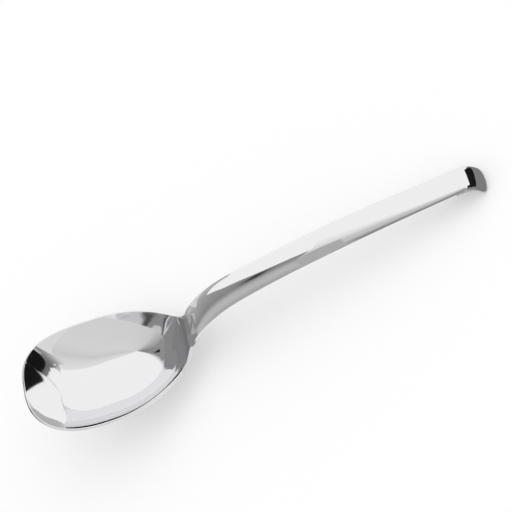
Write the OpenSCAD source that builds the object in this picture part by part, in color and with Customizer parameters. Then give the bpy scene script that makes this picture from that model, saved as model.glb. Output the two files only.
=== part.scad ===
// Serving spoon of polished sheet steel, lying on a table on its bowl and the tip of its hook.
// The whole spoon is one curved sheet. A middle line runs down it, from the bowl's tip, through
// the bowl's deepest point, up the neck and along the handle to the hook. Places on that line
// are arc lengths from the deepest point, negative towards the tip. At each station along the
// line a cross-section gives the sheet its width, and its dish or its camber.

/* [Bowl] */
// Width of the bowl across its rim
bowl_w = 67; // [60:0.5:74]
// Length from the deepest point to the bowl's tip
bowl_front = 42; // [36:0.5:48]
// Length from the deepest point to where the bowl's outline would close
bowl_rear = 61; // [59:0.5:63]
// Depth of the bowl at its deepest point, below the level of its rim there
bowl_depth = 22; // [18:0.5:25]
// How far the rim rises at the tip
tip_rise = 7.3; // [3:0.5:10]
// How far the rim rises at the neck
rear_rise = 2.8; // [1:0.1:4.5]
// How blunt the tip is: 2 is an ellipse, more is squarer
tip_bluntness = 2.75; // [2.2:0.05:3.2]
// How long the rear outline keeps its width before it draws in
rear_fullness = 2.14; // [2.1:0.02:2.4]
// Width of the straight run of rim at the very tip
tip_flat = 8.5; // [6:0.5:12]

/* [Neck] */
// Arc length over which the rear wall bends up out of the bowl's floor
wall_bend_len = 63.5; // [60:0.5:67]
// Steepest slope of the wall and neck, in degrees
wall_angle = 61; // [54:1:66]
// Where the neck starts to bend back towards the handle
neck_bend_at = 64; // [62:0.5:67]
// Arc length over which it bends back
neck_bend_len = 55; // [48:1:62]
// How far it bends back, in degrees
neck_bend_angle = 42.5; // [38:0.5:48]
// Width of the handle's strip where it runs into the bowl, before the two are blended
neck_w = 10.4; // [9:0.2:13]
// Where the bowl and the handle are joined
seam_at = 67; // [65:0.5:72]

/* [Handle] */
// Arc length from the deepest point to the hook's tip
reach = 262; // [240:1:285]
// Width of the handle where it is widest, above the neck
shoulder_w = 21.6; // [19:0.2:24]
// Width of the handle halfway along
middle_w = 18.5; // [16:0.5:20]
// Width of the handle at the hook
end_w = 15.2; // [12:0.2:17]
// How far the handle's long arch turns it, in degrees
arch_angle = 10.6; // [6:0.2:15]
// How far the long edges drop below the middle, above the neck
camber = 3.4; // [2.5:0.1:5]
// How far they drop at the hook
end_camber = 1; // [0.6:0.1:2]

/* [Hook] */
// Arc length from the start of the hook's bend to its tip
hook_len = 17.5; // [14:0.5:24]
// Arc length of the bend itself
hook_bend_len = 16; // [12:0.5:19]
// How far the hook bends down, in degrees
hook_angle = 62; // [45:1:80]
// Radius of the two corners at the hook's tip, in the plane of the sheet
hook_corner_r = 2; // [1:0.1:4]

/* [Sheet] */
// Thickness of the sheet in the bowl
bowl_t = 1.4; // [1.2:0.1:2]
// Thickness of the sheet in the handle
handle_t = 2; // [1.6:0.1:2.6]
// Radius of the edges of the sheet, which lie inside the widths and lengths above
edge_r = 0.35; // [0.2:0.05:0.5]

/* [Hidden] */

// Where the wall's bend starts, behind the deepest point
wall_bend_at = 2;
// Power of the rear outline as a whole
rear_power = 0.8;
// How soon the cross-sections start to lean square to the middle line, and over what length
lean_at = 55.5;
lean_len = 18;
// Where the neck starts to widen, the length over which it does, and the handle's first taper
widen_at = 60.5;
widen_len = 11.5;
taper_len = 80;
// Where the camber starts, and the length over which it comes in
camber_at = 61;
camber_len = 39;
// Where the arch starts, and its length
arch_at = 70;
arch_len = 152;
// Width over which the bowl's outline and the neck's blend into each other
outline_blend = 4;
// Height over which the bowl's rim and the handle's dropped edge blend into each other
rim_blend = 12;
// Where the sheet starts to thicken behind the deepest point, and over what length
thicken_at = 33;
thicken_len = 40;
// Where the cross-section goes from a dish to a flat top with rounded shoulders
shoulder_at = 45;
shoulder_len = 30;
// How square the dish and the handle's top are: 0 is a parabola, 1 is flat with steep sides
dish_share = 0.35;
top_share = 0.6;
// Steps used to measure which way the surface faces: along it, along it as a share of the room
// left before the tip, and across it as a share of its half width
probe_len = 0.05;
probe_room_share = 0.25;
probe_across_share = 0.01;
// How far round the corners of the hook's tip the stations go, in degrees. At 90 the outline
// would run straight across the end.
corner_angle = 89;
// The spoon at rest is tipped by less than this, in degrees
steepest_angle = 60;

// Counts of straight steps: along the middle line, along each stretch, across and round an edge
line_steps = 524;
tip_steps = 22;
wall_steps = 26;
neck_steps = 16;
arch_steps = 26;
hook_steps = 12;
corner_steps = 4;
across_steps = 16;
edge_steps = 2;
balance_steps = 30;

half_w = bowl_w / 2;
hook_at = reach - hook_len;
neck_end = neck_bend_at + neck_bend_len;
// The upper face stops short of the outline by the radius of its edge
face_front = bowl_front - edge_r;
face_reach = reach - edge_r;
face_corner_r = hook_corner_r - edge_r;

// Curves that blend one value into another
function ease(t) = let (c = max(0, min(1, t))) c * c * (3 - 2 * c);
function mix(a, b, t) = a + (b - a) * ease(t);
function soft_max(a, b, width) =
    let (near = max(0, width - abs(a - b)) / width)
    max(a, b) + near * near * near * width / 6;
function unit(v) = v / norm(v);

// Slope of the middle line, in degrees
function slope(s) =
    wall_angle * ease((s - wall_bend_at) / wall_bend_len)
    - neck_bend_angle * ease((s - neck_bend_at) / neck_bend_len)
    - arch_angle * ease((s - arch_at) / arch_len)
    - hook_angle * ease((s - hook_at) / hook_bend_len);

// The middle line behind the deepest point, as [x, z] points one step apart
line_step = reach / line_steps;
line = [
    for (
        i = 0, x = 0, z = -bowl_depth;
        i <= line_steps + 1;
        x = x + line_step * cos(slope((i + 0.5) * line_step)),
        z = z + line_step * sin(slope((i + 0.5) * line_step)),
        i = i + 1
    ) [x, z]
];
function on_line(s) =
    let (k = max(0, s) / line_step, i = min(line_steps, floor(k)))
    line[i] + (line[i + 1] - line[i]) * (k - i);

// How far along the front of the bowl a place is, from 0 at the deepest point to 1 at the tip
function front_share(s) = -s / face_front;
// How far the superellipse of the bowl's front still is from closing there
function open_share(s) = 1 - pow(front_share(s), tip_bluntness);

// The middle line's point, half the width of the upper face, and the rise of its long edges over
// the middle, which turns negative where the handle is cambered
function middle(s) =
    s < 0 ? [s, tip_rise * pow(front_share(s), 2) - bowl_depth * open_share(s)] : on_line(s);
function bowl_half(s) =
    let (share = max(0, min(1, on_line(s)[0] / bowl_rear)))
    half_w * pow(1 - pow(share, rear_fullness), rear_power);
function strip_half(s) =
    let (narrow_at = widen_at + widen_len, thin_at = narrow_at + taper_len)
    (mix(neck_w, shoulder_w, (s - widen_at) / widen_len)
    + mix(0, middle_w - shoulder_w, (s - narrow_at) / taper_len)
    + mix(0, end_w - middle_w, (s - thin_at) / (reach - thin_at))) / 2;
function corner_cut(s) =
    let (past = min(face_corner_r, max(0, s - (face_reach - face_corner_r))))
    face_corner_r - sqrt(face_corner_r * face_corner_r - past * past);
function outline_half(s) =
    s < 0
        ? half_w * pow(open_share(s), 1 / tip_bluntness)
        : soft_max(bowl_half(s), strip_half(s), outline_blend) - corner_cut(s);
function half(s) = outline_half(s) - edge_r;
function drop(s) =
    let (full_at = camber_at + camber_len)
    mix(0, camber, (s - camber_at) / camber_len)
    + mix(0, end_camber - camber, (s - full_at) / (hook_at - full_at));
function rise(s) =
    s < 0
        ? bowl_depth * open_share(s)
        : let (p = on_line(s), rim = rear_rise * pow(min(1, p[0] / bowl_rear), 2))
          soft_max(rim - p[1], -drop(s), rim_blend);
function lean(s) = s < 0 ? 0 : slope(s) * ease((s - lean_at) / lean_len);
function thickness(s) = mix(bowl_t, handle_t, (s - thicken_at) / thicken_len);

// The upper face of the sheet at arc length s and at v across it, from -1 to 1
function face(s, v) =
    let (
        square = mix(dish_share, top_share, (s - shoulder_at) / shoulder_len),
        lift = rise(s) * ((1 - square) * v * v + square * pow(v, 4)),
        m = middle(s)
    )
    [m[0] - sin(lean(s)) * lift, half(s) * v, m[1] + cos(lean(s)) * lift];

// Directions on the face: along the line, across it, and out of it
function probe(s) = min(probe_len, (face_front + s) * probe_room_share);
function along(s, v) =
    let (ahead = min(s + probe(s), face_reach))
    unit(face(ahead, v) - face(s - probe(s), v));
function across(s, v) =
    unit(face(s, v + probe_across_share) - face(s, v - probe_across_share));
function normal(s, v) = unit(cross(along(s, v), across(s, v)));

// Stations: close together where the sheet turns, and further apart along the handle
function spaced(a, b, n) = [for (i = [0:n - 1]) a + (b - a) * i / n];
tip_share = pow(1 - pow(tip_flat / bowl_w, tip_bluntness), 1 / tip_bluntness);
tip_angle = asin(tip_share);
corner_at = face_reach - face_corner_r;
stations = concat(
    [for (i = [0:tip_steps - 1]) -face_front * sin(tip_angle * (1 - i / tip_steps))],
    spaced(0, seam_at, wall_steps),
    spaced(seam_at, neck_end, neck_steps),
    spaced(neck_end, hook_at, arch_steps),
    spaced(hook_at, corner_at, hook_steps),
    [for (i = [0:corner_steps]) corner_at + face_corner_r * sin(corner_angle * i / corner_steps)]
);
last = len(stations) - 1;
seam = tip_steps + wall_steps;

// One column of points down through the sheet at station i and at step j across. On the free
// edge of the sheet the column runs round the edge; anywhere else it is the two faces alone.
function outward(i, j) =
    let (
        s = stations[i],
        v = 2 * j / across_steps - 1,
        n = normal(s, v),
        side = j == 0 ? -1 : j == across_steps ? 1 : 0,
        end = i == 0 ? -1 : i == last ? 1 : 0,
        sideways = side == 0 ? [0, 0, 0] : side * unit(cross(n, along(s, v))),
        endways = end == 0 ? [0, 0, 0] : end * unit(cross(across(s, v), n))
    )
    unit(sideways + endways);
function column(i, j) =
    let (
        s = stations[i],
        v = 2 * j / across_steps - 1,
        p = face(s, v),
        n = normal(s, v),
        t = thickness(s),
        free = j == 0 || j == across_steps || i == 0 || i == last
    )
    free
        ? let (o = outward(i, j))
          concat(
              [
                  for (k = [0:edge_steps])
                      let (a = 90 * k / edge_steps)
                      p - n * edge_r * (1 - cos(a)) + o * edge_r * sin(a)
              ],
              [
                  for (k = [0:edge_steps])
                      let (a = 90 * k / edge_steps)
                      p - n * (t - edge_r * (1 - sin(a))) + o * edge_r * cos(a)
              ]
          )
        : [p, p - n * t];
columns = [for (i = [0:last]) [for (j = [0:across_steps]) column(i, j)]];

// The spoon at rest. It is tipped about its cross axis until the lowest point of the bowl and
// the lowest point of the handle are level, and moved until they touch the table.
function flat_list(rows) = [for (row = rows) for (item = row) item];
function points_of(a, b) = flat_list(flat_list([for (i = [a:b]) columns[i]]));
bowl_points = points_of(0, seam);
handle_points = points_of(seam, last);
function tipped(p, angle) =
    [p[0] * cos(angle) + p[2] * sin(angle), p[1], p[2] * cos(angle) - p[0] * sin(angle)];
function lowest(points, angle) = min([for (p = points) tipped(p, angle)[2]]);
function balance(low, high, n) =
    let (mid = (low + high) / 2)
    n == 0
        ? mid
        : lowest(handle_points, mid) > lowest(bowl_points, mid)
            ? balance(mid, high, n - 1)
            : balance(low, mid, n - 1);
rest_angle = balance(0, steepest_angle, balance_steps);
rest_x = [for (p = concat(bowl_points, handle_points)) tipped(p, rest_angle)[0]];
rest_shift = [-(min(rest_x) + max(rest_x)) / 2, 0, -lowest(bowl_points, rest_angle)];
function at_rest(points) = [for (p = points) tipped(p, rest_angle) + rest_shift];

// Triangles between two lists of point numbers of the same length
function strip(a, b) = [
    for (k = [0:len(a) - 2])
        each [[a[k], b[k], b[k + 1]], [a[k], b[k + 1], a[k + 1]]]
];
function reversed(a) = [for (k = [len(a) - 1:-1:0]) a[k]];

// One piece of the sheet, from station a to station b. The upper and lower faces are grids.
// The free edge is a strip of columns down one side, across the free end and up the other side,
// and the end at the seam is closed flat.
module sheet(a, b) {
    sizes = [for (i = [a:b]) for (j = [0:across_steps]) len(columns[i][j])];
    starts = [for (k = 0, sum = 0; k < len(sizes); sum = sum + sizes[k], k = k + 1) sum];
    function start(i, j) = starts[(i - a) * (across_steps + 1) + j];
    function deep(i, j) = len(columns[i][j]);
    function top(i) = [for (j = [0:across_steps]) start(i, j)];
    function under(i) = [for (j = [0:across_steps]) start(i, j) + deep(i, j) - 1];
    function down(i, j) = [for (k = [0:deep(i, j) - 1]) start(i, j) + k];
    faces_top = [for (i = [a:b - 1]) each strip(top(i), top(i + 1))];
    faces_under = [for (i = [a:b - 1]) each strip(under(i + 1), under(i))];
    faces_sides = [
        for (i = [a:b - 1])
            each concat(
                strip(down(i + 1, 0), down(i, 0)),
                strip(down(i, across_steps), down(i + 1, across_steps))
            )
    ];
    free_end = a == 0 ? 0 : last;
    faces_end = [
        for (j = [0:across_steps - 1])
            each a == 0
                ? strip(down(free_end, j), down(free_end, j + 1))
                : strip(down(free_end, j + 1), down(free_end, j))
    ];
    cut = a == 0 ? b : a;
    left = down(cut, 0);
    right = down(cut, across_steps);
    cut_middle = strip(under(cut), top(cut));
    cut_left = [for (k = [1:len(left) - 2]) [left[0], left[k + 1], left[k]]];
    cut_right = [for (k = [1:len(right) - 2]) [right[0], right[k], right[k + 1]]];
    cut_faces = concat(cut_middle, cut_left, cut_right);
    faces_cut = a == 0 ? [for (f = cut_faces) reversed(f)] : cut_faces;
    faces_all = concat(faces_top, faces_under, faces_sides, faces_end, faces_cut);
    polyhedron(points = at_rest(points_of(a, b)), faces = [for (f = faces_all) reversed(f)]);
}

// The deep pressed bowl, from its tip to the seam across the neck
module bowl() {
    color("silver")
        sheet(0, seam);
}

// The neck, the cambered handle and its hook, pressed from one strip
module handle() {
    color("silver")
        sheet(seam, last);
}

bowl();
handle();
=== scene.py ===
# %% [markdown]
# # A serving spoon in polished steel
#
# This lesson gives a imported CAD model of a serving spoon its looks. The CAD part has two nodes,
# the bowl and the handle, drawn with flat facets. A mirror shows every facet, so here both are
# made again as smooth, fine surfaces by the same rule. Then they get a polished steel material,
# and a small studio whose cards show in the steel.
#
# Blender gets everything in metres and in the frame of the CAD model: X runs from the bowl's
# tip to the hook, Y across the spoon and Z up from the table. The spoon's own sizes are written
# in millimetres, and are divided by 1000 where a mesh is made.

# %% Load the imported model
import math

import bpy
import numpy as np
from mathutils import Matrix, Vector
from mathutils.bvhtree import BVHTree


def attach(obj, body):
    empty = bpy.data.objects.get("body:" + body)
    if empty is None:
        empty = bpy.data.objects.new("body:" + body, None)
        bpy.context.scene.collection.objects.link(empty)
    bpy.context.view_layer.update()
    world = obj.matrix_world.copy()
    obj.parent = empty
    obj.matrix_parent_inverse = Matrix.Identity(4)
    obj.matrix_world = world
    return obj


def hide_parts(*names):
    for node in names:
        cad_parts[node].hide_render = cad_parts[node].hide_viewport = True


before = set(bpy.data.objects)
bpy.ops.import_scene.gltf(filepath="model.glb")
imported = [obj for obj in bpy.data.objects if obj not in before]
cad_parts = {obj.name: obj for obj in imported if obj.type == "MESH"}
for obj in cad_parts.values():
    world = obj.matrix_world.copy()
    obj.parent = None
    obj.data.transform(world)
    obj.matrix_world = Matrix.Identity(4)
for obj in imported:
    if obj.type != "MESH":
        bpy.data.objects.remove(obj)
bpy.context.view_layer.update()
print("nodes:", sorted(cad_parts))

# %% [markdown]
# ## The camera
#
# The camera comes first, because every later choice is judged through it. It looks down on the
# spoon at 46 degrees, from its near side and past its hook. The lens is long, so the bowl's tip,
# which is farther away, is drawn only 8 percent smaller than the hook. The picture is also
# rolled, which lets the spoon run from the lower left to the upper right. A camera looks along
# its own minus Z, so its three axes are worked out as the columns of its matrix.

# %% Camera at the photograph's angle
def aim(eye, target, roll):
    """The matrix of a camera at eye that looks at target, rolled by roll degrees."""
    back = (Vector(eye) - Vector(target)).normalized()
    level = Vector((0, 0, 1)).cross(back).normalized()
    upright = back.cross(level)
    turn = math.radians(roll)
    right = level * math.cos(turn) + upright * math.sin(turn)
    up = upright * math.cos(turn) - level * math.sin(turn)
    axes = Matrix((right, up, back)).transposed().to_4x4()
    return Matrix.Translation(eye) @ axes


eye, target, roll = (0.3810, -0.5169, 0.7015), (0.0082, 0.0185, 0.02), -57.72
camera_data = bpy.data.cameras.new("camera")
camera_data.lens = 123.96
camera_data.sensor_width = 36
camera_data.clip_start = 0.05
camera_data.clip_end = 20
camera = bpy.data.objects.new("camera", camera_data)
camera.matrix_world = aim(eye, target, roll)
bpy.context.scene.collection.objects.link(camera)
bpy.context.scene.camera = camera
print("camera", round(camera.location.length, 3), "m from the origin")

# %% [markdown]
# ## The sizes
#
# The spoon is pressed from sheet steel. A middle line runs down it, from the tip of the bowl
# through its deepest point, up the neck and along the handle to the hook. A place behind the
# deepest point is its arc length from there in millimetres. One in front of it is minus the
# straight distance. These sizes are the ones that the CAD part is drawn with.

# %% Sizes in millimetres and degrees
bowl_w, bowl_front, bowl_rear, bowl_depth = 67, 42, 61, 22
tip_rise, rear_rise, tip_flat = 7.3, 2.8, 8.5
tip_bluntness, rear_fullness, rear_power = 2.75, 2.14, 0.8
wall_bend_at, wall_bend_len, wall_angle = 2, 63.5, 61
neck_bend_at, neck_bend_len, neck_bend_angle = 64, 55, 42.5
arch_at, arch_len, arch_angle = 70, 152, 10.6
reach, hook_len, hook_bend_len, hook_angle, hook_corner_r = 262, 17.5, 16, 62, 2
neck_w, shoulder_w, middle_w, end_w = 10.4, 21.6, 18.5, 15.2
widen_at, widen_len, taper_len = 60.5, 11.5, 80
camber, end_camber, camber_at, camber_len = 3.4, 1, 61, 39
outline_blend, rim_blend = 4, 12
lean_at, lean_len = 55.5, 18
shoulder_at, shoulder_len, dish_share, top_share = 45, 30, 0.35, 0.6
bowl_t, handle_t, thicken_at, thicken_len = 1.4, 2, 33, 40
edge_r = 0.35
seam_at = 67
hook_at = reach - hook_len
# The upper face stops short of the outline by the radius of its edge
face_front, face_reach, face_corner_r = bowl_front - edge_r, reach - edge_r, hook_corner_r - edge_r
# How the spoon lies on the table: tipped by this angle, then moved by this much along X and Z
rest_angle, rest_shift = 20.2821, (-99.1846, 28.1841)
print("middle line:", bowl_front, "mm of bowl before the deepest point,", reach, "mm behind it")

# %% [markdown]
# ## The middle line
#
# The line turns in four places: up out of the bowl, back again in the neck, gently over the
# handle's arch, and down at the hook. Each turn is eased in and out, so that no reflection
# breaks at its ends. The slope is known at every place, and adding up tiny steps along it gives
# the line.

# %% Slope and middle line
def ease(t):
    t = np.clip(t, 0, 1)
    return t * t * (3 - 2 * t)


def mix(a, b, t):
    return a + (b - a) * ease(t)


def soft_max(a, b, width):
    """The larger of two values, with the corner where they cross rounded off."""
    near = np.maximum(0, width - abs(a - b)) / width
    return np.maximum(a, b) + near**3 * width / 6


def slope(s):
    """Slope of the middle line in radians."""
    degrees = (
        wall_angle * ease((s - wall_bend_at) / wall_bend_len)
        - neck_bend_angle * ease((s - neck_bend_at) / neck_bend_len)
        - arch_angle * ease((s - arch_at) / arch_len)
        - hook_angle * ease((s - hook_at) / hook_bend_len)
    )
    return np.radians(degrees)


line_step = 0.02
line_s = np.arange(0, reach + 1, line_step)
line_turns = slope(line_s[:-1] + line_step / 2)
line_x = np.append(0, np.cumsum(np.cos(line_turns))) * line_step
line_z = np.append(0, np.cumsum(np.sin(line_turns))) * line_step - bowl_depth
print("the line ends", round(line_x[-1]), "mm out and", round(line_z[-1]), "mm up")

# %% [markdown]
# ## The cross-sections
#
# At every place the sheet has a cross-section: a dish in the bowl, and a flat top with
# rolled-down edges in the handle. Both come from one formula. With v running from -1 to 1
# across the sheet, a point is middle + dish * v^2 + shoulder * v^4 + side * v, where the four
# words are vectors that change along the line. That is the rule that the tree of nodes follows
# later. The side vector is half the sheet's width: an oval in the bowl, a strip that widens and
# tapers in the handle, and a soft change between them.

# %% Half the width of the sheet
def half_width(s):
    """Half the width of the upper face in millimetres, without the rounded edge."""
    front = np.clip(-s / face_front, 0, 1)
    front_half = bowl_w / 2 * (1 - front**tip_bluntness) ** (1 / tip_bluntness)
    back = np.clip(np.interp(s, line_s, line_x) / bowl_rear, 0, 1)
    bowl_half = bowl_w / 2 * (1 - back**rear_fullness) ** rear_power
    thin_at = widen_at + widen_len + taper_len
    strip = mix(neck_w, shoulder_w, (s - widen_at) / widen_len)
    strip += mix(0, middle_w - shoulder_w, (s - widen_at - widen_len) / taper_len)
    strip += mix(0, end_w - middle_w, (s - thin_at) / (reach - thin_at))
    past = np.clip(s - (face_reach - face_corner_r), 0, face_corner_r)
    corner = face_corner_r - np.sqrt(face_corner_r**2 - past**2)
    rear_half = soft_max(bowl_half, strip / 2, outline_blend) - corner
    return np.where(s < 0, front_half, rear_half) - edge_r


print("widest:", round(2 * (float(half_width(np.array([0.0]))[0]) + edge_r), 1), "mm")

# %% [markdown]
# The sides of the bowl rise to its rim, and those of the handle fall a little below its middle,
# so one number, the rise, says how far the edge lies above the middle line. It is shared out
# between dish and shoulder: a dish curves evenly, a shoulder stays flat and turns late. The
# spoon lies on the table on its bowl and its hook, so all vectors are tipped by the same angle.

# %% Vectors of a cross-section
def section(s):
    """Rows of middle, dish, shoulder and side vectors in mm, before the spoon is tipped."""
    front = np.clip(-s / face_front, 0, 1)
    open_share = 1 - front**tip_bluntness
    x = np.where(s < 0, s, np.interp(s, line_s, line_x))
    front_z = tip_rise * front**2 - bowl_depth * open_share
    z = np.where(s < 0, front_z, np.interp(s, line_s, line_z))
    full_at = camber_at + camber_len
    drop = mix(0, camber, (s - camber_at) / camber_len)
    drop += mix(0, end_camber - camber, (s - full_at) / (hook_at - full_at))
    rim = rear_rise * np.clip(x / bowl_rear, 0, 1) ** 2
    rise = np.where(s < 0, bowl_depth * open_share, soft_max(rim - z, -drop, rim_blend))
    lean = np.where(s < 0, 0, slope(s) * ease((s - lean_at) / lean_len))
    square = mix(dish_share, top_share, (s - shoulder_at) / shoulder_len)
    none = np.zeros_like(s)
    middle = np.stack([x, none, z], 1)
    lift = np.stack([-np.sin(lean), none, np.cos(lean)], 1) * rise[:, None]
    side = np.stack([none, half_width(s), none], 1)
    return [middle, lift * (1 - square)[:, None], lift * square[:, None], side]


def tipped(vectors):
    """Vectors turned from the spoon's own directions to those of the spoon lying on the table."""
    c, n = math.cos(math.radians(rest_angle)), math.sin(math.radians(rest_angle))
    return vectors @ np.array([[c, 0, -n], [0, 1, 0], [n, 0, c]])


print("dish at the deepest point:", np.round(section(np.zeros(1))[1][0], 1).tolist())

# %% [markdown]
# ## The spine of a piece
#
# A spine is a mesh with no faces: one point for each cross-section, and the vectors of that
# section stored on the point as attributes. It carries the rule into Geometry Nodes. The tree
# also needs to know which way the surface faces, so each point keeps the change of its vectors
# along the line too, found from the sections just before and just behind it.

# %% Spine as points with attributes
SPINE_VECTORS = ["middle", "dish", "shoulder", "side"]
change_step = 0.05


def new_object(name, mesh):
    made = bpy.data.objects.new(name, mesh)
    bpy.context.scene.collection.objects.link(made)
    return made


def store(mesh, name, kind, values):
    """Stores one value for each point of a mesh."""
    field = "vector" if kind == "FLOAT_VECTOR" else "value"
    layer = mesh.attributes.new(name, kind, "POINT")
    layer.data.foreach_set(field, np.asarray(values, np.float32).ravel())


def spine_object(name, stations):
    """A spine with one point at each station, a place on the middle line in millimetres."""
    s = np.asarray(stations, float)
    # Beside the tip the step is a quarter of what is left of the bowl, so it stays on the metal
    step = np.minimum(change_step, (face_front + s) / 4)
    ahead = np.minimum(s + step, face_reach)
    behind = s - step
    mesh = bpy.data.meshes.new(name)
    place = tipped(section(s)[0]) + np.array([rest_shift[0], 0, rest_shift[1]])
    mesh.from_pydata((place / 1000).tolist(), [], [])
    change = zip(section(ahead), section(behind))
    runs = [(a - b) / (ahead - behind)[:, None] for a, b in change]
    for word, value, run in zip(SPINE_VECTORS, section(s), runs):
        at = place if word == "middle" else tipped(value)
        store(mesh, word, "FLOAT_VECTOR", at / 1000)
        store(mesh, word + "_run", "FLOAT_VECTOR", tipped(run))
    thickness = mix(bowl_t, handle_t, (s - thicken_at) / thicken_len)
    store(mesh, "thickness", "FLOAT", thickness / 1000)
    store(mesh, "place", "FLOAT", s / 1000)
    return new_object(name, mesh)


print("vectors on a spine:", SPINE_VECTORS)

# %% [markdown]
# The sections are about half a millimetre apart, because in a mirror finish a coarse surface
# shows as ripples. Where the outline turns fast, at the tip and in the corners of the hook's
# end, they follow equal steps of an angle and lie closer. The bowl ends and the handle begins
# in the same section, the joint at the neck root.

# %% Sections of the two pieces
front_sections, rear_sections, strip_sections, corner_sections = 91, 116, 341, 9
last_corner_angle = 89
tip_share = (1 - (tip_flat / bowl_w) ** tip_bluntness) ** (1 / tip_bluntness)
front_angles = np.linspace(math.asin(tip_share), 0, front_sections)
front_stations = -face_front * np.sin(front_angles)
rear_stations = np.linspace(0, seam_at, rear_sections)[1:]
corner_angles = np.radians(np.linspace(0, last_corner_angle, corner_sections))
corner_stations = face_reach - face_corner_r * (1 - np.sin(corner_angles))
strip_stations = np.linspace(seam_at, corner_stations[0], strip_sections)[:-1]
spines = {
    "bowl": spine_object("bowl_surface", np.append(front_stations, rear_stations)),
    "handle": spine_object("handle_surface", np.append(strip_stations, corner_stations)),
}
print("sections:", {word: len(s.data.vertices) for word, s in spines.items()})

# %% [markdown]
# ## Small helpers for node trees
#
# A tree is built from many small nodes. One helper adds a node, sets what it is told to, and
# fills its sockets with numbers or with the output of another node. Two more make the common
# cases, arithmetic with numbers and with vectors, as short as a formula.

# %% Node helpers
def put(tree, kind, feeds=None, **settings):
    """Adds a node, and returns its first output that is in use."""
    made = tree.nodes.new(kind)
    count = len(tree.nodes)
    made.location = (200 * (count % 14), -260 * (count // 14))
    for name, value in settings.items():
        setattr(made, name, value)
    for socket, value in (feeds or {}).items():
        target = made.inputs[socket]
        if isinstance(value, bpy.types.NodeSocket):
            tree.links.new(value, target)
        else:
            target.default_value = value
    return next((o for o in made.outputs if o.enabled), made)


def calc(tree, operation, *numbers):
    return put(tree, "ShaderNodeMath", dict(enumerate(numbers)), operation=operation)


def vector_calc(tree, operation, *vectors):
    feeds = dict(enumerate(vectors))
    if operation == "SCALE":
        feeds = {0: vectors[0], "Scale": vectors[1]}
    return put(tree, "ShaderNodeVectorMath", feeds, operation=operation)


print("helpers: put, calc, vector_calc")

# %% [markdown]
# ## The tree that makes the sheet
#
# Both pieces are the same thing, a closed sheet over a spine, so one Geometry Nodes tree makes
# them. It starts from a cube whose faces are cut into a grid: the cube's X becomes the way along
# the spine, its Y the way across and its Z the way through the sheet. Every point of the cube
# then reads the vectors of its own cross-section, and moves to its place on the sheet. This
# keeps the sheet closed, with its faces outwards, however it bends. Near a free edge the point
# also moves out along a quarter circle, and the sheet gets the rounded edge that polishing
# leaves.

# %% Inputs of the tree
sheet_tree = bpy.data.node_groups.new("sheet over a spine", "GeometryNodeTree")
sheet_tree.is_modifier = True
SHEET_INPUTS = [
    ("Spine", "NodeSocketGeometry"),
    ("Steps across", "NodeSocketInt"),
    ("Steps round an edge", "NodeSocketInt"),
    ("Edge radius", "NodeSocketFloat"),
    ("Free end", "NodeSocketFloat"),
    ("Finish", "NodeSocketMaterial"),
]
for title, kind in SHEET_INPUTS:
    sheet_tree.interface.new_socket(title, in_out="INPUT", socket_type=kind)
sheet_tree.interface.new_socket("Sheet", in_out="OUTPUT", socket_type="NodeSocketGeometry")
sheet_in = sheet_tree.nodes.new("NodeGroupInput").outputs
print("inputs:", [title for title, _ in SHEET_INPUTS])

# %% [markdown]
# The cube is one unit long each way, with its centre at the origin. Half added to a coordinate
# makes it a share from 0 to 1. The steps through the sheet count from the nearer face: step 0 is
# on a face, and the highest step is halfway through.

# %% From the cube to shares and steps
def number(*feeds):
    return calc(sheet_tree, *feeds)


def arrow(*feeds):
    return vector_calc(sheet_tree, *feeds)


station_count = put(sheet_tree, "GeometryNodeAttributeDomainSize", {0: sheet_in["Spine"]})
layers = number("MULTIPLY", number("ADD", sheet_in["Steps round an edge"], 1), 2)
cube_feeds = {
    "Size": (1, 1, 1),
    "Vertices X": station_count,
    "Vertices Y": number("ADD", sheet_in["Steps across"], 1),
    "Vertices Z": layers,
}
cube = put(sheet_tree, "GeometryNodeMeshCube", cube_feeds)
place = put(sheet_tree, "GeometryNodeInputPosition")
split = put(sheet_tree, "ShaderNodeSeparateXYZ", {0: place}).node.outputs
along_share = number("ADD", split["X"], 0.5)
across_v = number("MULTIPLY", split["Y"], 2)
last_layer = number("SUBTRACT", layers, 1)
layer = number("ROUND", number("MULTIPLY", number("SUBTRACT", 0.5, split["Z"]), last_layer))
from_face = number("MINIMUM", layer, number("SUBTRACT", last_layer, layer))
edge_turn = number("DIVIDE", from_face, sheet_in["Steps round an edge"])
print("nodes so far:", len(sheet_tree.nodes))

# %% [markdown]
# Each value that a point needs later is stored on it first, while it still knows its place on
# the cube. The material reads two of them: how far across the sheet a point is, and how far
# round its edge.

# %% Store the shares on the points
shaped = cube
kept_values = {"along": along_share, "across": across_v, "layer": layer, "edge": edge_turn}
for word, value in kept_values.items():
    feeds = {"Geometry": shaped, "Name": word, "Value": value}
    shaped = put(sheet_tree, "GeometryNodeStoreNamedAttribute", feeds, data_type="FLOAT")


def kept(word, kind="FLOAT"):
    return put(sheet_tree, "GeometryNodeInputNamedAttribute", {"Name": word}, data_type=kind)


print("kept on each point:", list(kept_values))

# %% [markdown]
# Now the rule itself. A station number picks the section on the spine. The point on the upper
# face is a sum of the four vectors, and two more sums of the same kind give the directions
# along and across the surface there. Their cross product points straight out of the metal.

# %% Point and directions on the upper face
last_station = number("SUBTRACT", station_count, 1)
station = number("ROUND", number("MULTIPLY", kept("along"), last_station))


def at_station(word, kind="FLOAT_VECTOR"):
    feeds = {"Geometry": sheet_in["Spine"], "Value": kept(word, kind), "Index": station}
    return put(sheet_tree, "GeometryNodeSampleIndex", feeds, data_type=kind)


def total(terms):
    """Sum of vectors, each times a number."""
    parts = [arrow("SCALE", vector, by) for vector, by in terms]
    result = parts[0]
    for part in parts[1:]:
        result = arrow("ADD", result, part)
    return result


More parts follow.
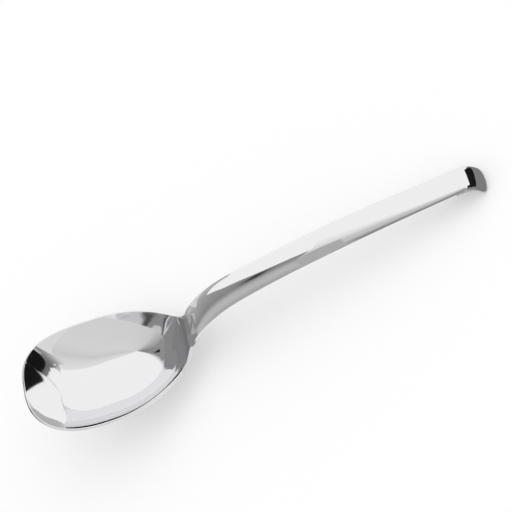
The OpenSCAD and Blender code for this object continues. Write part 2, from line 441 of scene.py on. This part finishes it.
v = kept("across")
v2 = number("MULTIPLY", v, v)
v3 = number("MULTIPLY", v2, v)
v4 = number("MULTIPLY", v2, v2)
middle, dish, shoulder, side = [at_station(word) for word in SPINE_VECTORS]
runs = [at_station(word + "_run") for word in SPINE_VECTORS]
face_point = total([(middle, 1.0), (dish, v2), (shoulder, v4), (side, v)])
run_along = total(list(zip(runs, [1.0, v2, v4, v])))
twice_v = number("MULTIPLY", v, 2)
run_across = total([(dish, twice_v), (shoulder, number("MULTIPLY", v3, 4)), (side, 1.0)])
outward_face = arrow("NORMALIZE", arrow("CROSS_PRODUCT", run_along, run_across))
print("nodes so far:", len(sheet_tree.nodes))

# %% [markdown]
# A free edge is one that you could run a finger along: the two long edges, and the end that the
# other piece doesn't join. Where two free edges meet, the two outward directions are added, which
# rounds the corner as well. The free end is an input, -1 for the first section and 1 for the
# last. Both places run from -1 to 1, and only the points right on an edge are past outermost.

# %% Outward direction along the free edges
outermost = 0.9999
is_side = number("GREATER_THAN", number("ABSOLUTE", v), outermost)
side_sign = number("MULTIPLY", number("SIGN", v), is_side)
end_place = number("SUBTRACT", number("MULTIPLY", kept("along"), 2), 1)
is_end = number("GREATER_THAN", number("MULTIPLY", end_place, sheet_in["Free end"]), outermost)
end_sign = number("MULTIPLY", sheet_in["Free end"], is_end)
sideways = arrow("NORMALIZE", arrow("CROSS_PRODUCT", outward_face, run_along))
endways = arrow("NORMALIZE", arrow("CROSS_PRODUCT", run_across, outward_face))
outward_edge = arrow("NORMALIZE", total([(sideways, side_sign), (endways, end_sign)]))
print("nodes so far:", len(sheet_tree.nodes))

# %% [markdown]
# The rounded edge is a quarter circle from the face to the side of the sheet. The sine of the
# turn says how far a point bulges outwards, and one minus its cosine how far it sinks into the
# sheet. Points of the lower face measure the same sinking from the other side.

# %% Rounded edge and thickness
turned = number("MULTIPLY", kept("edge"), math.pi / 2)
radius = sheet_in["Edge radius"]
bulge = number("MULTIPLY", number("SINE", turned), radius)
sink = number("MULTIPLY", number("SUBTRACT", 1, number("COSINE", turned)), radius)
is_under = number("GREATER_THAN", kept("layer"), number("MULTIPLY", last_layer, 0.5))
through = at_station("thickness", "FLOAT")
under_depth = number("SUBTRACT", through, sink)
depth = number("ADD", number("MULTIPLY", is_under, number("SUBTRACT", under_depth, sink)), sink)
down = number("MULTIPLY", depth, -1)
sheet_point = total([(face_point, 1.0), (outward_face, down), (outward_edge, bulge)])
print("nodes so far:", len(sheet_tree.nodes))

# %% [markdown]
# The surface direction is known exactly at every point, so it is stored for the shading too.
# Blender would otherwise guess it from the faces, and the guess is worst right beside a rounded
# edge. The tree ends in Realize Instances and Set Material, so that the result is one plain mesh
# with its finish.

# %% Directions for shading, and the end of the tree
face_sign = number("SUBTRACT", 1, number("MULTIPLY", is_under, 2))
lean_out = number("MULTIPLY", number("COSINE", turned), face_sign)
free_share = number("MAXIMUM", is_side, is_end)
edge_out = number("MULTIPLY", number("SINE", turned), free_share)
shade_direction = arrow("NORMALIZE", total([(outward_face, lean_out), (outward_edge, edge_out)]))
for word, value, kind in [
    ("facing", shade_direction, "FLOAT_VECTOR"),
    ("place", at_station("place", "FLOAT"), "FLOAT"),
]:
    feeds = {"Geometry": shaped, "Name": word, "Value": value}
    shaped = put(sheet_tree, "GeometryNodeStoreNamedAttribute", feeds, data_type=kind)
shaped = put(sheet_tree, "GeometryNodeSetPosition", {"Geometry": shaped, "Position": sheet_point})
shaped = put(sheet_tree, "GeometryNodeRealizeInstances", {0: shaped})
finish_feeds = {"Geometry": shaped, "Material": sheet_in["Finish"]}
shaped = put(sheet_tree, "GeometryNodeSetMaterial", finish_feeds)
sheet_out = sheet_tree.nodes.new("NodeGroupOutput")
sheet_tree.links.new(shaped, sheet_out.inputs["Sheet"])
print("the whole tree has", len(sheet_tree.nodes), "nodes")

# %% [markdown]
# ## Polished steel
#
# The real spoon is stainless steel, polished on a soft wheel until it mirrors the room. A
# Principled shader with full metal does that. What makes it look like a pressed spoon and not
# like chrome paint is the little that is left over: the wheel runs along the spoon and leaves
# hairlines there, the polish is a touch duller in some places than in others, and the rounded
# edge of the sheet, which only the last buffing reaches, is a little rougher. The pattern
# follows the metal through three values that are stored on its points: how far along the
# middle line, how far across, and how far round the edge.

# %% Patterns that follow the metal
steel = bpy.data.materials.new("polished_steel")
steel.use_nodes = True
steel_tree = steel.node_tree


def stored(word):
    """A number that is stored on the points of the metal."""
    made = put(steel_tree, "ShaderNodeAttribute", attribute_name=word)
    return made.node.outputs["Fac"]


def on_metal(along, across):
    """A place on the metal, with its own scale along the line and across the sheet."""
    feeds = {"X": calc(steel_tree, "MULTIPLY", stored("place"), along)}
    feeds["Y"] = calc(steel_tree, "MULTIPLY", stored("across"), across)
    return put(steel_tree, "ShaderNodeCombineXYZ", feeds)


def noise(place, scale, detail):
    feeds = {"Vector": place, "Scale": scale, "Detail": detail, "Roughness": 0.6}
    return put(steel_tree, "ShaderNodeTexNoise", feeds)


def from_to(value, old, new):
    """A value carried over from one range of numbers to another, each a lowest and a highest."""
    feeds = {"Value": value, "From Min": old[0], "From Max": old[1]}
    feeds.update({"To Min": new[0], "To Max": new[1]})
    return put(steel_tree, "ShaderNodeMapRange", feeds)


hairlines = noise(on_metal(along=20, across=40), scale=3, detail=4)
clouds = noise(on_metal(along=60, across=1.2), scale=1, detail=2)
rounded = from_to(stored("edge"), (0.15, 0.6), (0, 1))
print("nodes in the steel so far:", len(steel_tree.nodes))

# %% [markdown]
# Roughness takes all three patterns, and a very weak bump takes the hairlines. All of it stays
# small, because the photograph's reflections are sharp.

# %% Roughness and bump
best_polish, worst_polish, hairline_rough, edge_rough = 0.03, 0.055, 0.02, 0.1
polish = from_to(clouds, (0.3, 0.7), (best_polish, worst_polish))
in_hairline = from_to(hairlines, (0.55, 0.75), (0, 1))
in_lines = calc(steel_tree, "MULTIPLY", in_hairline, hairline_rough)
on_edge = calc(steel_tree, "MULTIPLY", rounded, edge_rough)
roughness = calc(steel_tree, "ADD", calc(steel_tree, "ADD", polish, in_lines), on_edge)
bump_feeds = {"Strength": 0.02, "Distance": 0.0001, "Height": hairlines}
steel_bump = put(steel_tree, "ShaderNodeBump", bump_feeds)
shader = steel_tree.nodes["Principled BSDF"]
shader.inputs["Base Color"].default_value = (0.86, 0.86, 0.87, 1)
shader.inputs["Metallic"].default_value = 1
steel_tree.links.new(roughness, shader.inputs["Roughness"])
steel_tree.links.new(steel_bump, shader.inputs["Normal"])
print("nodes in the steel:", len(steel_tree.nodes))

# %% [markdown]
# ## Making the two pieces
#
# The modifier's inputs are set by each socket's identifier, before the object is first
# evaluated. Then the evaluated result is copied into a plain mesh and the modifier is taken off.

# %% Run the tree on each spine
def make_sheet(piece, values):
    modifier = piece.modifiers.new("sheet", "NODES")
    modifier.node_group = sheet_tree
    for item in sheet_tree.interface.items_tree:
        if item.item_type == "SOCKET" and item.in_out == "INPUT" and item.name in values:
            modifier[item.identifier] = values[item.name]
    graph = bpy.context.evaluated_depsgraph_get()
    result = piece.evaluated_get(graph)
    mesh = bpy.data.meshes.new_from_object(result, preserve_all_data_layers=True, depsgraph=graph)
    piece.modifiers.clear()
    piece.data = mesh
    facing = np.zeros(len(mesh.vertices) * 3, np.float32)
    mesh.attributes["facing"].data.foreach_get("vector", facing)
    mesh.shade_smooth()
    mesh.normals_split_custom_set_from_vertices(facing.reshape(-1, 3).tolist())
    print(piece.name, len(mesh.vertices), "points,", len(mesh.loop_triangles), "triangles")


shared_sizes = {"Steps round an edge": 5, "Edge radius": edge_r / 1000, "Finish": steel}
make_sheet(spines["bowl"], {**shared_sizes, "Steps across": 120, "Free end": -1.0})
make_sheet(spines["handle"], {**shared_sizes, "Steps across": 48, "Free end": 1.0})

# %% [markdown]
# ## Checking them against the CAD part
#
# Each new surface has to lie where the CAD node is. A search tree over its faces finds, for
# every corner of the CAD node, how far the new surface is from it.

# %% Largest distance to the CAD nodes
def largest_gap(piece, node):
    seen = BVHTree.FromObject(piece, bpy.context.evaluated_depsgraph_get())
    corners = [c.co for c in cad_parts[node].data.vertices]
    return max(seen.find_nearest(corner)[3] for corner in corners)


for node, piece in spines.items():
    gap = round(1000 * largest_gap(piece, node), 3)
    print(piece.name, "is at most", gap, "mm off the CAD node")
    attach(piece, "root")
    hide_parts(node)

# %% [markdown]
# ## The studio
#
# A mirror has no colour of its own: it shows the room. So most of the likeness is in what the
# room holds. Product photographers put large white and grey cards around polished metal, and a
# few black ones, because black reflections draw the shape. Here only the steel can see them. The
# camera can't, and neither can the floor, which gets its light from an even white sky. The cards
# were placed by following the photograph's lines of sight off the steel, so they suit that view
# best. Those inside the bowl couldn't stand there in a real studio.
#
# Tones are written as they should look in the steel, from 0 for black to 1 for white, and the
# curve from tone to light is the usual one of screens. Steel gives back 86 percent of the
# light, so a card has to be that much brighter.

# %% From a tone to a strength
given_back = 0.86


def strength(tone):
    """Light of a card whose reflection in the steel shows as this tone."""
    light = tone / 12.92 if tone <= 0.04045 else ((tone + 0.055) / 1.055) ** 2.4
    return light / given_back


for tone in (0.5, 0.84, 0.93):
    print("tone", tone, "needs strength", round(strength(tone), 2))

# %% [markdown]
# A card is one flat face that glows. Like an area light it glows on one side, and from behind
# it is clear, so a card can stand close to the bowl and show only in the handle. A face glows
# on the side from which its corners run anticlockwise, and where that is the wrong side, card()
# turns the face over.

# %% Glowing finishes and cards
def glow(name):
    """A finish that glows in front and is clear from behind, with its tree and its light."""
    finish = bpy.data.materials.new(name)
    finish.use_nodes = True
    tree = finish.node_tree
    tree.nodes.clear()
    light = put(tree, "ShaderNodeEmission")
    from_behind = put(tree, "ShaderNodeNewGeometry").node.outputs["Backfacing"]
    clear = put(tree, "ShaderNodeBsdfTransparent")
    shown = put(tree, "ShaderNodeMixShader", {0: from_behind, 1: light, 2: clear})
    output = tree.nodes.new("ShaderNodeOutputMaterial")
    tree.links.new(shown, output.inputs["Surface"])
    return finish, tree, light.node


def plain_glow(name, tone):
    finish, _, light = glow(name)
    light.inputs["Strength"].default_value = strength(tone)
    return finish


def card(name, corners, toward, finish):
    """A flat card whose glowing side faces the direction toward."""
    mesh = bpy.data.meshes.new(name)
    mesh.from_pydata(corners, [], [tuple(range(len(corners)))])
    if mesh.polygons[0].normal.dot(Vector(toward)) < 0:
        mesh.flip_normals()
    mesh.materials.append(finish)
    made = new_object(name, mesh)
    made.visible_camera = False
    made.visible_diffuse = False
    made.visible_shadow = False
    print(name, "with", len(corners), "corners")


print("helpers: glow, plain_glow, card")

# %% [markdown]
# Nearly every card is upright, across the spoon, or level, so its outline is a list of pairs. In
# an upright outline the pairs are Y and Z, in a level one X and Y. The last five cards lean.

# %% Upright and level cards
UP, DOWN, TO_HOOK, TO_TIP = (0, 0, 1), (0, 0, -1), (1, 0, 0), (-1, 0, 0)
# How far one card or the floor lies behind another card, so that the two can't mix
card_gap = 0.0002


def upright(x, outline):
    return [(x, y, z) for y, z in outline]


def level(z, outline):
    return [(x, y, z) for x, y in outline]


print("gap between two cards:", 1000 * card_gap, "mm")

# %% [markdown]
# On the large cards the tone changes from place to place, as on a paper screen that a lamp
# lights from one end. A ramp turns one number into a tone. The number is an angle round some
# point, or a distance, worked out from the card's own coordinates.

# %% Tones that change across a card
def ramp(tree, value, stops):
    """A row of strengths along a value from 0 to 1, from pairs of place and tone."""
    made = put(tree, "ShaderNodeValToRGB", {"Fac": value}).node
    elements = made.color_ramp.elements
    while len(elements) < len(stops):
        elements.new(0.5)
    for element, (at, _) in zip(elements, stops):
        element.position = at
    for element, (_, tone) in zip(elements, stops):
        element.color = (strength(tone),) * 3 + (1,)
    return made.outputs["Color"]


def angle(tree, right, up):
    """The angle of a place round the origin as a share of a full turn, from 0 to 1."""
    turned = calc(tree, "ARCTAN2", up, right)
    return calc(tree, "FRACT", calc(tree, "DIVIDE", turned, 2 * math.pi))


def angle_stops(rows, lowest=0):
    """Stops for a ramp along an angle, from pairs of degrees and tone."""
    return [((degrees - lowest) / 360, tone) for degrees, tone in rows]


def offset_place(tree, centre):
    """Object coordinates measured from a centre, as three numbers."""
    place = put(tree, "ShaderNodeTexCoord").node.outputs["Object"]
    moved = vector_calc(tree, "SUBTRACT", place, centre)
    return put(tree, "ShaderNodeSeparateXYZ", {0: moved}).node.outputs


print("half a turn is the stop", angle_stops([(180, 0.9)])[0][0])

# %% [markdown]
# The ceiling is the large panel over the spoon. Its parts meet in one point, and their edges
# run out from there like the spokes of a wheel: white over the far side, a dark grey sector
# over the tip, and light grey over the near side. So its tone is a row of stops on the angle
# round that point. A black triangle hangs just under it, for the small black spot that the
# photograph has in the bowl, near the neck.

# %% Ceiling
far = 9.0
ceiling_z = 0.8
ceiling_finish, tree, light = glow("ceiling")
spot = offset_place(tree, (-0.30, -0.28, ceiling_z))
CEILING_STOPS = [
    (0, 0.93), (122, 0.93), (131, 0.52), (150, 0.52), (178, 0.66), (205, 0.78),
    (235, 0.80), (300, 0.82), (325, 0.78), (340, 0.83), (357.5, 0.86), (360, 0.93),
]
turn = angle(tree, spot["X"], spot["Y"])
tree.links.new(ramp(tree, turn, angle_stops(CEILING_STOPS)), light.inputs["Color"])
square = [(-far, -far), (far, -far), (far, far), (-far, far)]
card("ceiling", level(ceiling_z, square), DOWN, ceiling_finish)
black = plain_glow("black_card", 0.08)
card("dark_triangle", level(0.79, [(-0.98, 0.27), (-0.88, 0.08), (-0.58, 0.02)]), DOWN, black)

# %% [markdown]
# ## Cards for the handle
#
# The divider stands across the spoon over the foot of the neck and faces the hook. It makes the
# neck and the near half of the handle's first part grey. Its tone is again a row of stops on
# an angle, here round a point at the foot of the neck.

# %% Tones of the divider
divider_x = -0.046
divider_finish, tree, light = glow("divider")
spot = offset_place(tree, (divider_x, -0.006, 0.02))
DIVIDER_STOPS = [
    (0, 0.72), (15, 0.66), (35, 0.60), (55, 0.55), (66, 0.52), (74, 0.55), (88, 0.68),
    (110, 0.71), (130, 0.66), (145, 0.60), (160, 0.62),
]
turn = angle(tree, spot["Y"], spot["Z"])
tree.links.new(ramp(tree, turn, angle_stops(DIVIDER_STOPS)), light.inputs["Color"])
print("divider with", len(DIVIDER_STOPS), "stops")

# %% [markdown]
# A soft dark patch lies in the grey of the handle. On the divider it is a long, narrow hump of
# the bell curve, e to the power of minus a sum of squares: one for the logarithm of the distance
# from the point, and one for the angle.

# %% Dark patch of the divider
patch_distance, patch_depth, patch_angle, patch_width, patch_darkness = 0.235, 0.28, 66.5, 5, 0.97
yz = put(tree, "ShaderNodeCombineXYZ", {"X": spot["Y"], "Y": spot["Z"]})
distance = put(tree, "ShaderNodeVectorMath", {0: yz}, operation="LENGTH").node.outputs["Value"]
times_off = calc(tree, "DIVIDE", distance, patch_distance)
off_far = calc(tree, "DIVIDE", calc(tree, "LOGARITHM", times_off, math.e), patch_depth)
off_turn = calc(tree, "SUBTRACT", turn, patch_angle / 360)
off_turn = calc(tree, "DIVIDE", off_turn, patch_width / 360)
off = calc(tree, "ADD", calc(tree, "POWER", off_far, 2), calc(tree, "POWER", off_turn, 2))
dark = calc(tree, "EXPONENT", calc(tree, "MULTIPLY", off, -1))
left_over = calc(tree, "SUBTRACT", 1, calc(tree, "MULTIPLY", dark, patch_darkness))
tree.links.new(left_over, light.inputs["Strength"])
print("patch", patch_distance, "m from the point, at", patch_angle, "degrees")

# %% [markdown]
# The divider's outline decides where the grey ends on the handle: its slanting far edge is
# mirrored as the line between the grey and the white half.

# %% Outline of the divider
divider_outline = [
    (-0.012, 0.028), (0.01, 0.028), (0.012, 0), (0.11, 0), (0.11, 0.045), (0.03, 0.045),
    (0.05, 0.092), (0.09, 0.165), (0.25, 0.6), (0.45, 1.15), (-0.9, 1.15), (-0.9, 0.64),
    (-0.2, 0.16),
]
card("divider", upright(divider_x, divider_outline), TO_HOOK, divider_finish)

# %% [markdown]
# The rest of the handle, up to the hook, mirrors what is straight over it. A narrow card lies
# there like a fan, with its pivot just past the hook. Its angles are counted from the way back
# to the tip, so they are negative on the near side, which is grey, and positive on the far
# side, which is nearly white.

# %% Fan over the handle
fan_z = 0.06
fan_finish, tree, light = glow("fan")
spot = offset_place(tree, (0.163, 0, fan_z))
FAN_STOPS = [
    (-40, 0.60), (-25, 0.57), (-16, 0.50), (-10, 0.68), (-6, 0.75), (-1, 0.75),
    (3, 0.82), (8, 0.89), (12, 0.92),
]
turn = angle(tree, spot["X"], calc(tree, "MULTIPLY", spot["Y"], -1))
stops = angle_stops(FAN_STOPS, lowest=-180)
tree.links.new(ramp(tree, turn, stops), light.inputs["Color"])
fan_outline = [
    (0.045, -0.02), (0.075, -0.034), (0.15, -0.02), (0.15, 0.002), (0.045, 0.022),
    (0.042, 0.012), (0.032, 0.002), (0.032, -0.03),
]
card("fan", level(fan_z, fan_outline), DOWN, fan_finish)

# %% [markdown]
# Three plain grey cards finish the handle. The first lies just under the fan and makes the grey
# band along the near side of the handle's middle. The second lies lower, for the near edge past
# that band. The third stands under the divider, for the streaks at the foot of the neck.

# %% Plain cards for the handle
shoulder_outline = [
    (0.03, -0.036), (0.062, -0.034), (0.06, 0.0046), (0.045, 0.0056), (0.036, 0.004), (0.03, 0),
]
shoulder_grey = plain_glow("shoulder_grey", 0.66)
card("shoulder_card", level(fan_z - card_gap, shoulder_outline), DOWN, shoulder_grey)
edge_outline = [(0.052, -0.016), (0.135, -0.0175), (0.135, -0.09), (0.06, -0.045)]
card("near_edge_card", level(0.035, edge_outline), DOWN, plain_glow("near_edge_grey", 0.60))
throat_outline = [
    (-0.019, 0.004), (0.012, 0.002), (0.012, 0.0295), (-0.0125, 0.0295), (-0.019, 0.02),
]
throat_grey = plain_glow("throat_grey", 0.52)
card("throat_card", upright(divider_x, throat_outline), TO_HOOK, throat_grey)

# %% [markdown]
# ## Cards for the tip of the bowl
#
# Inside the tip the photograph has a black patch with a grey band beside it. The wall there
# faces the neck, so a black card stands at the foot of the neck, back to back with the divider,
# and faces the tip. It makes the upper part of the patch.

# %% Upright black card
tip_outline = [
    (-0.0095, 0.018), (0, 0.015), (0.02, 0.008), (0.03, 0), (0.058, 0), (0.05, 0.006),
    (0.04, 0.0142), (0.03, 0.0215), (0.02, 0.0268), (0.008, 0.0308), (0, 0.0305),
    (-0.006, 0.0275), (-0.0085, 0.025),
]
card("tip_card", upright(-0.0465, tip_outline), TO_TIP, black)

# %% [markdown]
# Further down, the wall inside the tip mirrors the bottom of the bowl, which mirrors the room
# once more, and the photograph shows plain tones instead. So a level card lies inside the bowl
# and glows upwards. A line of sight that goes down into the bowl ends on it. One that comes up
# from the bottom goes through, because the card is clear from below. The black one makes the
# lower part of the patch.

# %% Level black card in the bowl
in_bowl_z = 0.027
low_tip_outline = [
    (-0.1045, 0.0235), (-0.103, 0.0229), (-0.097, 0.0226), (-0.092, 0.0238), (-0.088, 0.0246),
    (-0.083, 0.0249), (-0.0795, 0.0246), (-0.0795, 0.0256), (-0.083, 0.0268), (-0.087, 0.0284),
    (-0.0905, 0.03), (-0.0935, 0.0308), (-0.0965, 0.0312), (-0.1, 0.0308), (-0.103, 0.0292),
    (-0.106, 0.026),
]
card("low_tip_card", level(in_bowl_z, low_tip_outline), UP, black)

# %% [markdown]
# The grey band stands half a millimetre behind the upright black card and shows round its edge.
# It gets paler from its lower far corner to its upper near one, so its ramp runs on a slant.

# %% Grey band beside the black patch
band_slope, band_length = 0.6, 0.07
band_finish, tree, light = glow("tip_band")
spot = offset_place(tree, (divider_x, 0, 0))
slant = calc(tree, "SUBTRACT", spot["Z"], calc(tree, "MULTIPLY", spot["Y"], band_slope))
slant = calc(tree, "DIVIDE", slant, band_length)
BAND_STOPS = [(0, 0.42), (0.43, 0.42), (0.54, 0.50), (0.66, 0.62), (0.8, 0.78), (0.9, 0.82)]
tree.links.new(ramp(tree, slant, BAND_STOPS), light.inputs["Color"])
band_outline = [
    (-0.022, 0.024), (0, 0.015), (0.03, 0), (0.058, 0), (0.05, 0.0084), (0.04, 0.0177),
    (0.03, 0.0248), (0.02, 0.0302), (0.012, 0.0335), (0.004, 0.0375), (0, 0.0395),
    (-0.003, 0.045), (-0.01, 0.055), (-0.022, 0.055),
]
card("tip_band_card", upright(divider_x, band_outline), TO_TIP, band_finish)

# %% [markdown]
# The near side of the tip is white, with a pale grey wedge inside the rim. Both are level cards
# in the bowl again. They share an edge, so no gap shows between the two tones, and the wedge
# gets a little darker across the spoon.

# %% Pale wedge inside the near rim
wedge_from, wedge_length = -0.016, 0.02
wedge_finish, tree, light = glow("near_wedge")
spot = offset_place(tree, (0, wedge_from, 0))
WEDGE_STOPS = [(0, 0.79), (0.3, 0.74), (0.5, 0.69), (1, 0.68)]
share = calc(tree, "DIVIDE", spot["Y"], wedge_length)
tree.links.new(ramp(tree, share, WEDGE_STOPS), light.inputs["Color"])
wedge_edge = [
    (-0.112, 0.0175), (-0.1144, 0.0156), (-0.1167, 0.014), (-0.119, 0.0115), (-0.1206, 0.009),
    (-0.1218, 0.006), (-0.123, 0.003), (-0.124, 0), (-0.1248, -0.0025), (-0.1254, -0.006),
    (-0.126, -0.009),
]
wedge_outline = wedge_edge + [
    (-0.127, -0.016), (-0.14, -0.016), (-0.14, 0.012), (-0.125, 0.02), (-0.113, 0.02),
]
card("near_wedge_card", level(in_bowl_z, wedge_outline), UP, wedge_finish)

# %% [markdown]
# The white card fills the room between the wedge and the black card. One more level card lies
# lower and further back, for the steep wall at the foot of the neck.

# %% White and root cards in the bowl
white_outline = wedge_edge[::-1] + [
    (-0.108, 0.0195), (-0.1047, 0.0225), (-0.103, 0.0228), (-0.097, 0.0225), (-0.092, 0.0237),
    (-0.088, 0.0245), (-0.084, 0.0247), (-0.084, 0.023), (-0.1, 0.012), (-0.115, -0.002),
    (-0.121, -0.009),
]
card("tip_white_card", level(in_bowl_z, white_outline), UP, plain_glow("tip_white", 0.93))
root_outline = [
    (-0.068, 0.018), (-0.068, -0.002), (-0.06, -0.005), (-0.0565, -0.01), (-0.054, -0.013),
    (-0.0515, -0.012), (-0.05, -0.004), (-0.05, 0.006), (-0.0515, 0.013), (-0.06, 0.0205),
]
card("near_root_card", level(0.014, root_outline), UP, plain_glow("root_grey", 0.43))

# %% [markdown]
# ## Cards for the hook
#
# The hook bends down, so it mirrors what stands past the end of the spoon and what lies on the
# floor there. A black card stands past the hook, with a larger grey one behind it, and the same
# grey goes on over the floor.

# %% Cards past the hook
hook_outline = [
    (-0.0054, 0.011), (0.029, 0.001), (0.037, 0.003), (0.037, 0.0277),
    (0.0026, 0.0277), (0.0026, 0.045), (-0.0054, 0.045),
]
card("hook_card", upright(0.15, hook_outline), TO_TIP, black)
hook_grey = plain_glow("hook_grey", 0.48)
grey_outline = [
    (-0.03, 0), (0.05, 0), (0.05, 0.012), (-0.0054, 0.012), (-0.0054, 0.06), (-0.03, 0.06),
]
card("hook_grey_card", upright(0.151, grey_outline), TO_TIP, hook_grey)
under_hook = [(0.12, -0.03), (0.16, -0.03), (0.16, 0.05), (0.12, 0.05)]
card("under_hook_card", level(card_gap, under_hook), UP, hook_grey)

# %% [markdown]
# ## Cards over the tip
#
# The wall below the neck mirrors the tip and what is over it. In the photograph it is a plain
# grey, so a grey card lies level over the rim of the tip.

# %% Grey card over the rim
rim_grey = plain_glow("rim_grey", 0.55)
rim_outline = [
    (-0.142, 0.004), (-0.121, 0.004), (-0.126, 0.016), (-0.124, 0.024), (-0.128, 0.036),
    (-0.142, 0.034),
]
card("rim_card", level(0.056, rim_outline), DOWN, rim_grey)

# %% [markdown]
# Close under the far rim, beside the neck, the bowl has a dark patch. Seen there, the room is
# mirrored twice, first by the tip and then by this wall. So the card for it stands over the
# bowl and leans away from the tip, with its glowing side turned to it.

# %% Steep card for the dark patch
steep_foot, steep_lean = (-0.11, 0.056), math.radians(75)


def steep(outline):
    """Corners of a steep card, from pairs of y and height up the card."""
    x, z = steep_foot
    return [(x + h * math.cos(steep_lean), y, z + h * math.sin(steep_lean)) for y, h in outline]


steep_outline = [
    (-0.0145, 0.0095), (-0.013, 0.015), (-0.011, 0.021), (-0.0095, 0.027), (-0.007, 0.034),
    (-0.0045, 0.04), (-0.0022, 0.0447), (-0.0045, 0.051), (-0.009, 0.06), (-0.02, 0.085),
    (-0.055, 0.16), (-0.11, 0.28), (-0.16, 0.28), (-0.06, 0.09), (-0.035, 0.055),
    (-0.0205, 0.036), (-0.0205, 0.026), (-0.0185, 0.018), (-0.0165, 0.0115),
]
card("steep_card", steep(steep_outline), TO_TIP, rim_grey)

# %% [markdown]
# The patch has a darker streak and a paler one in it. Two small cards hang a hair in front of
# the steep one for them.

# %% Streaks in the dark patch
def in_front(corners):
    return [(x - card_gap, y, z) for x, y, z in corners]


streak_outline = [
    (-0.0152, 0.0125), (-0.0135, 0.0125), (-0.0125, 0.02), (-0.0102, 0.0265),
    (-0.0075, 0.034), (-0.005, 0.0395), (-0.0062, 0.0405), (-0.0095, 0.034),
    (-0.012, 0.028), (-0.0145, 0.02),
]
dark_grey = plain_glow("dark_grey", 0.3)
card("steep_dark_card", in_front(steep(streak_outline)), TO_TIP, dark_grey)
pale_outline = [
    (-0.0206, 0.024), (-0.0175, 0.022), (-0.0155, 0.028), (-0.012, 0.0345), (-0.0206, 0.037),
]
pale_grey = plain_glow("pale_grey", 0.8)
card("steep_pale_card", in_front(steep(pale_outline)), TO_TIP, pale_grey)

# %% [markdown]
# Beside the patch the wall is a pale grey, so a pale card goes on from the steep one's edge. A
# small darker one fills the notch in that card's outline.

# %% Pale card beside the dark patch
beside_outline = [
    (-0.0222, -0.004), (-0.017, -0.004), (-0.011, 0.0145), (-0.006, 0.026), (0, 0.036),
    (0.014, 0.066), (0.011, 0.068), (-0.0022, 0.0447), (-0.0045, 0.04), (-0.007, 0.034),
    (-0.0095, 0.027), (-0.011, 0.021), (-0.013, 0.015), (-0.0145, 0.0095),
]
card("steep_beside_card", steep(beside_outline), TO_TIP, pale_grey)
low_outline = [
    (-0.011, 0.0145), (-0.0045, 0.016), (-0.0028, 0.02), (-0.0045, 0.026), (-0.006, 0.026),
]
card("steep_low_card", steep(low_outline), TO_TIP, rim_grey)

# %% [markdown]
# ## The floor and the sky
#
# The floor is plain white. It takes light as any white surface does, so it keeps the spoon's
# shadow. The reflections in the photograph's spoon show another ground, pale grey on the
# camera's side and nearly white on the far side. A Light Path node tells the two apart: its Is
# Glossy Ray is 1 only in a reflection.

# %% What the steel sees
NEAR_TO_FAR_STOPS = [(0, 0.84), (1, 0.93)]


def in_reflections(tree, plain, mirrored, output):
    """Shows the mirrored shader to reflections and the plain one to everything else."""
    is_glossy = put(tree, "ShaderNodeLightPath").node.outputs["Is Glossy Ray"]
    shown = put(tree, "ShaderNodeMixShader", {0: is_glossy, 1: plain, 2: mirrored})
    tree.links.new(shown, tree.nodes[output].inputs["Surface"])


print("tones from near to far:", [tone for _, tone in NEAR_TO_FAR_STOPS])

# %% [markdown]
# The floor itself is full white, without gloss, and as wide as the ceiling.

# %% Floor
floor_finish = bpy.data.materials.new("floor")
floor_finish.use_nodes = True
tree = floor_finish.node_tree
paper = tree.nodes["Principled BSDF"]
paper.inputs["Base Color"].default_value = (1, 1, 1, 1)
paper.inputs["Roughness"].default_value = 1
paper.inputs["Specular IOR Level"].default_value = 0
near_y, near_to_far = -0.08, 0.16
spot = offset_place(tree, (0, near_y, 0))
share = calc(tree, "DIVIDE", spot["Y"], near_to_far)
in_steel = put(tree, "ShaderNodeEmission", {"Color": ramp(tree, share, NEAR_TO_FAR_STOPS)})
in_reflections(tree, paper.outputs[0], in_steel, "Material Output")
floor_mesh = bpy.data.meshes.new("floor")
floor_mesh.from_pydata(level(0, square), [], [(0, 1, 2, 3)])
floor_mesh.materials.append(floor_finish)
floor = new_object("floor", floor_mesh)
print("floor", 2 * far, "m wide")

# %% [markdown]
# The sky is the even white light of the room. The steel sees a little of it between the floor
# and the ceiling, and there it goes on in the floor's tones: the Y of the direction takes the
# place of the floor's Y. With the Standard view, a light of 1 shows as white.

# %% Sky
world = bpy.data.worlds.new("sky")
bpy.context.scene.world = world
world.use_nodes = True
tree = world.node_tree
sky = tree.nodes["Background"]
sky.inputs["Color"].default_value = (1, 1, 1, 1)
sky.inputs["Strength"].default_value = 1
near_direction, direction_scale = 0.3, 2.5
towards = put(tree, "ShaderNodeTexCoord").node.outputs["Generated"]
share = put(tree, "ShaderNodeSeparateXYZ", {0: towards}).node.outputs["Y"]
share = calc(tree, "MULTIPLY", calc(tree, "ADD", share, near_direction), direction_scale)
horizon = put(tree, "ShaderNodeBackground", {"Color": ramp(tree, share, NEAR_TO_FAR_STOPS)})
in_reflections(tree, sky.outputs[0], horizon, "World Output")
bpy.context.scene.view_settings.view_transform = "Standard"
print("strength of the sky:", sky.inputs["Strength"].default_value)
